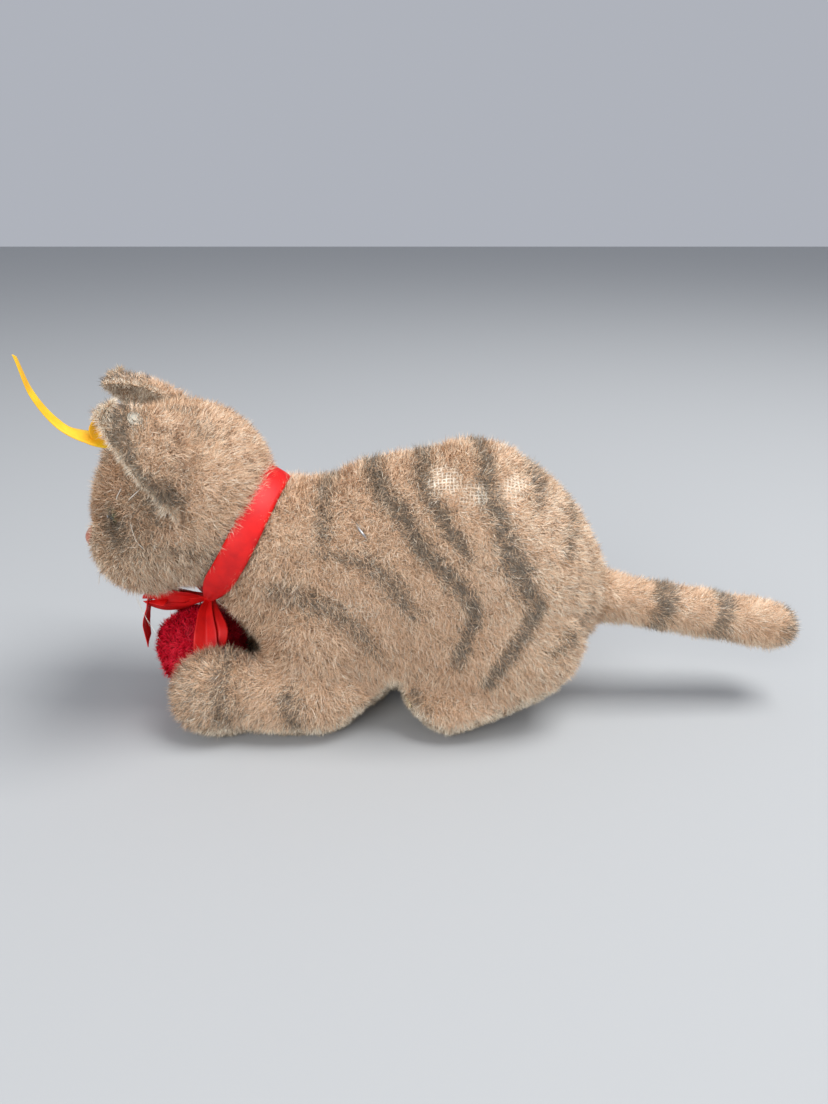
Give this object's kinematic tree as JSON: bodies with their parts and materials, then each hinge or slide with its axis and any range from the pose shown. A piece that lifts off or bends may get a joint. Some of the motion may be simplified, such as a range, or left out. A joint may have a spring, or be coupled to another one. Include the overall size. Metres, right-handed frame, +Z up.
{
  "type": "plush cat",
  "caption": "Small mohair plush cat lying down, with a turning head, flexible ears and tail, a red neck ribbon with a bow, and a red wool ball between its paws.",
  "frame": {"origin": "in the middle of the flat belly that rests on the table, under the shoulders", "axes": "+Z up; -Y is forward, the way the cat faces; +X is the cat's left side"},
  "size_m": [0.077, 0.2693, 0.1425],
  "materials": {
    "tan_mohair": "matte",
    "cream_mohair": "matte",
    "stuffing": "matte",
    "fibreboard": "matte",
    "steel": "satin",
    "eye_glass": "gloss",
    "rust_thread": "satin",
    "pale_thread": "matte",
    "nylon": "gloss",
    "red_satin": "satin",
    "red_wool": "matte",
    "yellow_ribbon": "satin",
    "nickel": "satin"
  },
  "bodies": {
    "torso": {"ball_stitches": "red_wool", "ball_stuffing": "stuffing", "ball_wool_cover": "red_wool", "belly_gusset": "cream_mohair", "body_disc": "fibreboard", "body_left_panel": "tan_mohair", "body_right_panel": "tan_mohair", "body_stuffing": "stuffing", "body_washer": "steel", "bow_knot": "red_satin", "bow_loop_far": "red_satin", "bow_loop_front": "red_satin", "bow_tail_front": "red_satin", "bow_tail_near": "red_satin", "bow_thread": "red_satin", "closing_stitches": "pale_thread", "neck_ribbon": "red_satin", "side_wire_staple": "steel"},
    "head": {"cotter_pin": "steel", "eye_left": "eye_glass", "eye_left_shank": "steel", "eye_right": "eye_glass", "eye_right_shank": "steel", "head_crown_gusset": "tan_mohair", "head_disc": "fibreboard", "head_left_panel": "tan_mohair", "head_right_panel": "tan_mohair", "head_stuffing": "stuffing", "head_washer": "steel", "mouth_embroidery": "rust_thread", "nose_embroidery": "rust_thread", "whiskers_left": "nylon", "whiskers_right": "nylon"},
    "ear_left": {"ear_left_back": "tan_mohair", "ear_left_lining": "cream_mohair", "ear_rivet": "nickel", "rivet_washer": "nickel"},
    "ear_right": {"ear_right_back": "tan_mohair", "ear_right_lining": "cream_mohair"},
    "tag": {"ear_tag": "yellow_ribbon"},
    "tail_base": {"tail_cover_base": "tan_mohair", "tail_stuffing_base": "stuffing", "tail_wire_base": "steel"},
    "tail_middle": {"tail_cover_middle": "tan_mohair", "tail_stuffing_middle": "stuffing", "tail_wire_middle": "steel"},
    "tail_tip": {"tail_cover_tip": "tan_mohair", "tail_stuffing_tip": "stuffing", "tail_wire_tip": "steel"}
  },
  "joints": [
    {"name": "head_swivel", "type": "hinge", "parent": "torso", "child": "head", "pos_m": [0, -0.0504, 0.071], "axis": [0, -0.866, 0.5], "continuous": true},
    {"name": "ear_left_flex", "type": "hinge", "parent": "head", "child": "ear_left", "pos_m": [0.02501, -0.06209, 0.10077], "axis": [-0.5512, 0.1577, 0.8193], "range_deg": [-12, 12], "stiffness_Nm_per_rad": 0.02},
    {"name": "ear_right_flex", "type": "hinge", "parent": "head", "child": "ear_right", "pos_m": [-0.02587, -0.07573, 0.10077], "axis": [-0.3985, -0.4121, -0.8193], "range_deg": [-12, 12], "stiffness_Nm_per_rad": 0.02},
    {"name": "tag_swing", "type": "hinge", "parent": "ear_left", "child": "tag", "pos_m": [0.02783, -0.07834, 0.11675], "axis": [0.5689, 0.4574, 0.6835], "range_deg": [-12, 12]},
    {"name": "tail_swing", "type": "hinge", "parent": "torso", "child": "tail_base", "pos_m": [0, 0.0836, 0.0446], "axis": [0, 0.1857, 0.9826], "range_deg": [-22, 22]},
    {"name": "tail_lift", "type": "hinge", "parent": "tail_base", "child": "tail_middle", "pos_m": [0, 0.10915, 0.03977], "axis": [1, 0, 0], "range_deg": [-22, 22]},
    {"name": "tail_curl", "type": "hinge", "parent": "tail_middle", "child": "tail_tip", "pos_m": [0, 0.1347, 0.03494], "axis": [1, 0, 0], "range_deg": [-22, 22]}
  ]
}
